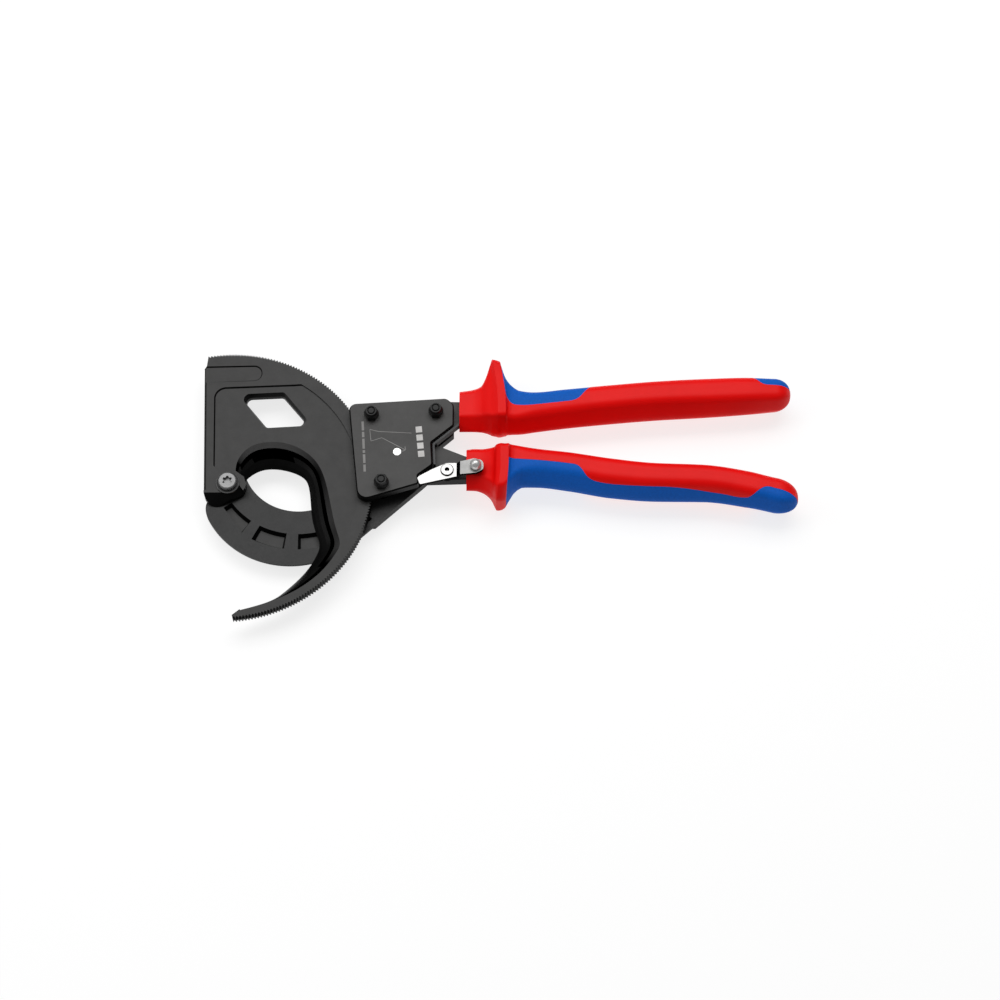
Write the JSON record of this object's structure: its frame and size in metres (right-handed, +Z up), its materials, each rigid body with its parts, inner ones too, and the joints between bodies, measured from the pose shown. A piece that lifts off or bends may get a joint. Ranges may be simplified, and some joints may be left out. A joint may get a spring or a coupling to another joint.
{
  "type": "ratchet cable cutter",
  "caption": "Hand ratchet cable cutter: a toothed sickle blade turns past a fixed hooked jaw, driven by pawls from two plastic-covered handles, with a lock lever.",
  "frame": {"origin": "bottom centre of the whole tool, lying flat on its back with the handles closed", "axes": "+X from the head to the handle ends, +Y from the moving handle to the fixed handle, +Z up through the head from the bolt heads to the nuts"},
  "size_m": [0.3226, 0.1566, 0.0312],
  "materials": {
    "blackened_steel": "satin black, as blackened and oiled tool steel",
    "black_fasteners": "black oxide",
    "bright_steel": "ground steel",
    "zinc_plate": "bright zinc plating",
    "bronze": "plain bearing bronze",
    "spring_steel": "dark spring steel",
    "red_plastic": "semi-gloss red",
    "blue_plastic": "soft matt blue"
  },
  "bodies": {
    "head": {"fixed_jaw": "blackened_steel", "cover_plate": "blackened_steel", "head_spacer": "blackened_steel", "upper_handle_arm": "blackened_steel", "head_bolts": "black_fasteners", "head_washers": "black_fasteners", "head_nuts": "black_fasteners", "handle_pivot_pin": "bright_steel", "blade_pivot_bolt": "bright_steel", "blade_pivot_washer": "bright_steel", "blade_pivot_nut": "black_fasteners", "holding_pawl_spring": "spring_steel", "opening_spring": "spring_steel", "upper_grip": "red_plastic", "upper_grip_insert": "blue_plastic", "upper_grip_end": "blue_plastic"},
    "blade": {"moving_blade": "blackened_steel", "blade_bush": "bronze"},
    "lower_handle": {"lower_handle_arm": "blackened_steel", "drive_pawl_pin": "bright_steel", "drive_pawl_spring": "spring_steel", "lock_lever_rivet": "bright_steel", "lower_grip": "red_plastic", "lower_grip_insert": "blue_plastic"},
    "drive_pawl": {"drive_pawl": "bright_steel"},
    "holding_pawl": {"holding_pawl": "bright_steel"},
    "lock_lever": {"lock_lever": "zinc_plate", "lock_stud": "zinc_plate"}
  },
  "joints": [
    {"name": "blade_swing", "type": "hinge", "parent": "head", "child": "blade", "pos_m": [-0.14525, -0.00012, 0.0134], "axis": [0, 0, 1], "range_deg": [-58, 200]},
    {"name": "handle_open", "type": "hinge", "parent": "head", "child": "lower_handle", "pos_m": [-0.05425, 0.01608, 0.0134], "axis": [0, 0, 1], "range_deg": [-32, 0]},
    {"name": "drive_pawl_swing", "type": "hinge", "parent": "lower_handle", "child": "drive_pawl", "pos_m": [-0.06305, 0.01958, 0.013], "axis": [0, 0, 1], "range_deg": [0, 17]},
    {"name": "holding_pawl_lift", "type": "hinge", "parent": "head", "child": "holding_pawl", "pos_m": [-0.06845, 0.03818, 0.013], "axis": [0, 0, 1], "range_deg": [0, 12], "stiffness_Nm_per_rad": 0.02, "springref_deg": -11.46},
    {"name": "lock_lever_turn", "type": "hinge", "parent": "lower_handle", "child": "lock_lever", "pos_m": [-0.02715, 0.00408, 0.0228], "axis": [0, 0, 1], "range_deg": [0, 25]}
  ],
  "couplings": [
    {"joint": "drive_pawl_swing", "follows": "handle_open", "ratio": -0.5}
  ]
}
